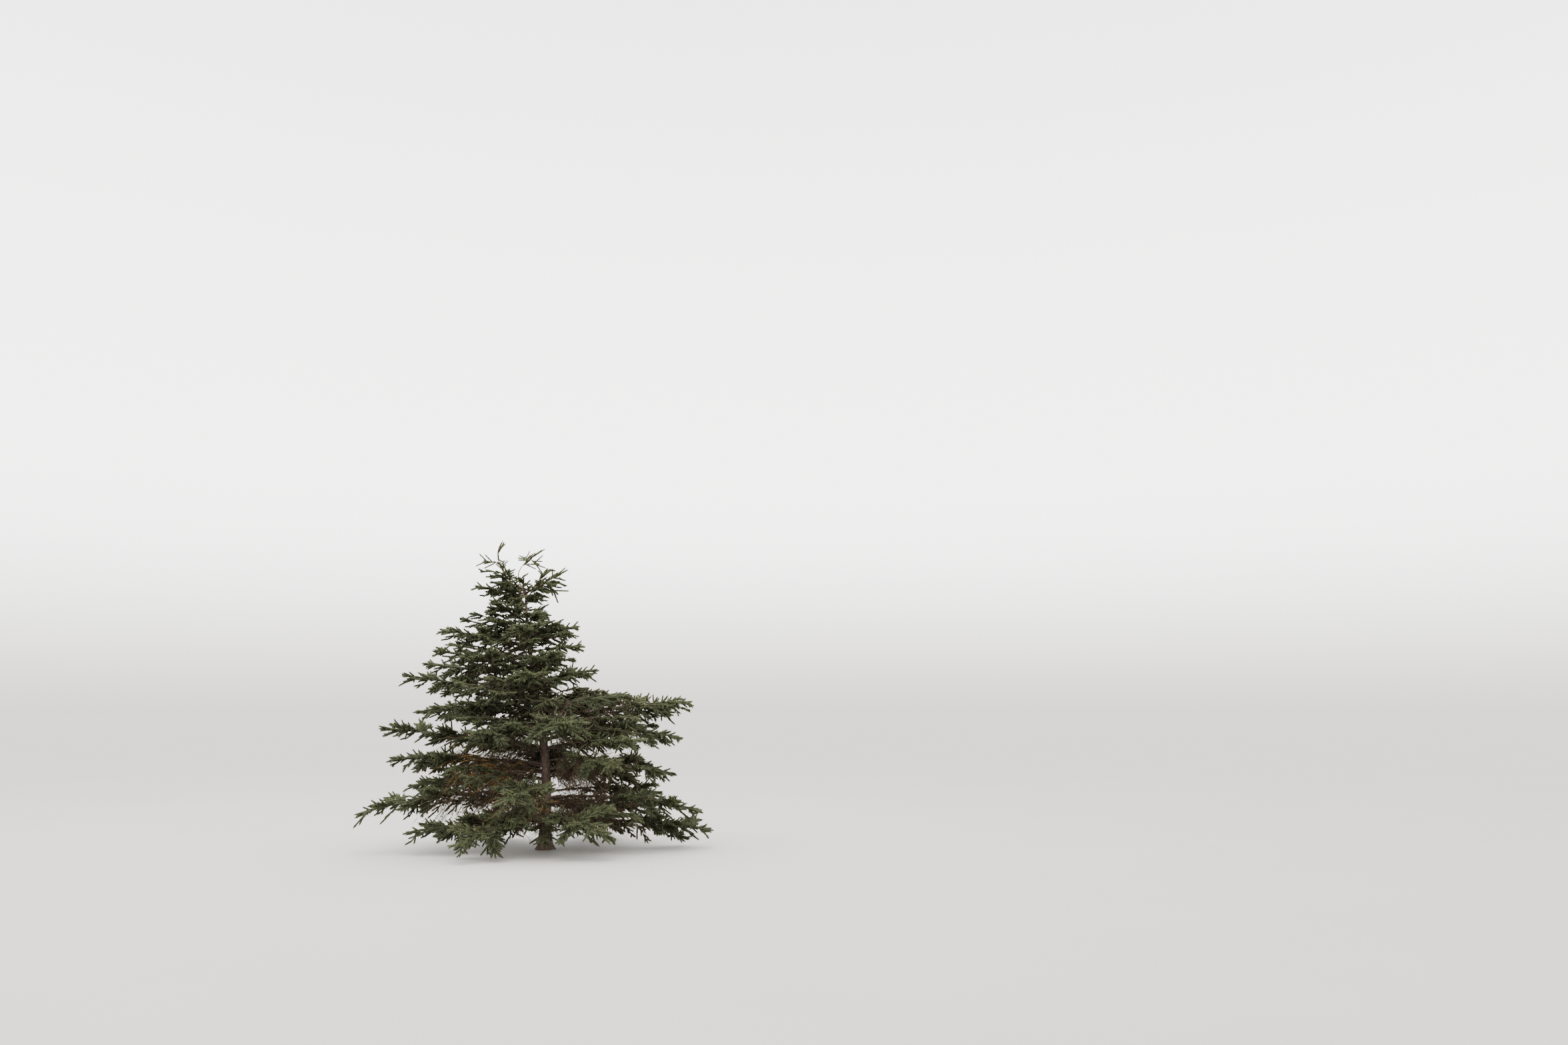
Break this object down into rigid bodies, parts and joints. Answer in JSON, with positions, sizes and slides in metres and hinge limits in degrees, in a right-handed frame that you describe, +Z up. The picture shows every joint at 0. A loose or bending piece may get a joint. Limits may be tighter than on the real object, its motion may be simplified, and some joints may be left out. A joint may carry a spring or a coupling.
{
  "type": "young spruce tree",
  "caption": "Young open-grown spruce, wide and low: a leaning, tapering trunk that forks into leaders, with layered boughs of dense needle sprays; rooted in the ground.",
  "frame": {"origin": "the middle of the flat cut under the trunk, at ground level", "axes": "+Z up; -Y is the side of the tree seen in the picture; +X is the picture's right, away from which the trunk leans as it rises"},
  "size_m": [3.9412, 2.8342, 3.466],
  "materials": {
    "bark": "matte",
    "bough_bark": "matte",
    "needles": "matte"
  },
  "bodies": {
    "root": {"bough_broad_right": "bough_bark", "bough_low_front": "bough_bark", "bough_low_right": "bough_bark", "bough_mid_front": "bough_bark", "bough_mid_left": "bough_bark", "bough_mid_right": "bough_bark", "bough_shoulder_left": "bough_bark", "bough_skirt_front": "bough_bark", "bough_skirt_left": "bough_bark", "bough_skirt_right": "bough_bark", "bough_waist_front_right": "bough_bark", "bough_waist_left": "bough_bark", "bough_waist_right": "bough_bark", "foliage_broad_right": "needles", "foliage_crown_back": "needles", "foliage_crown_front": "needles", "foliage_crown_left": "needles", "foliage_crown_right": "needles", "foliage_crown_right_low": "needles", "foliage_high_back": "needles", "foliage_high_back_left": "needles", "foliage_high_front": "needles", "foliage_high_front_left": "needles", "foliage_high_right": "needles", "foliage_leader_left": "needles", "foliage_leader_middle": "needles", "foliage_leader_right": "needles", "foliage_low_back_left": "needles", "foliage_low_back_right": "needles", "foliage_low_front": "needles", "foliage_low_front_left": "needles", "foliage_low_left": "needles", "foliage_low_right": "needles", "foliage_mid_back_left": "needles", "foliage_mid_back_right": "needles", "foliage_mid_front": "needles", "foliage_mid_front_left": "needles", "foliage_mid_front_right": "needles", "foliage_mid_left": "needles", "foliage_mid_right": "needles", "foliage_shoulder_back": "needles", "foliage_shoulder_back_right": "needles", "foliage_shoulder_front": "needles", "foliage_shoulder_left": "needles", "foliage_skirt_back_left": "needles", "foliage_skirt_back_right": "needles", "foliage_skirt_front": "needles", "foliage_skirt_left": "needles", "foliage_skirt_right": "needles", "foliage_top_front_left": "needles", "foliage_top_left": "needles", "foliage_top_right": "needles", "foliage_upper_back": "needles", "foliage_upper_back_left": "needles", "foliage_upper_front_left": "needles", "foliage_waist_back": "needles", "foliage_waist_front_right": "needles", "foliage_waist_left": "needles", "foliage_waist_right": "needles", "trunk": "bark"}
  },
  "joints": []
}
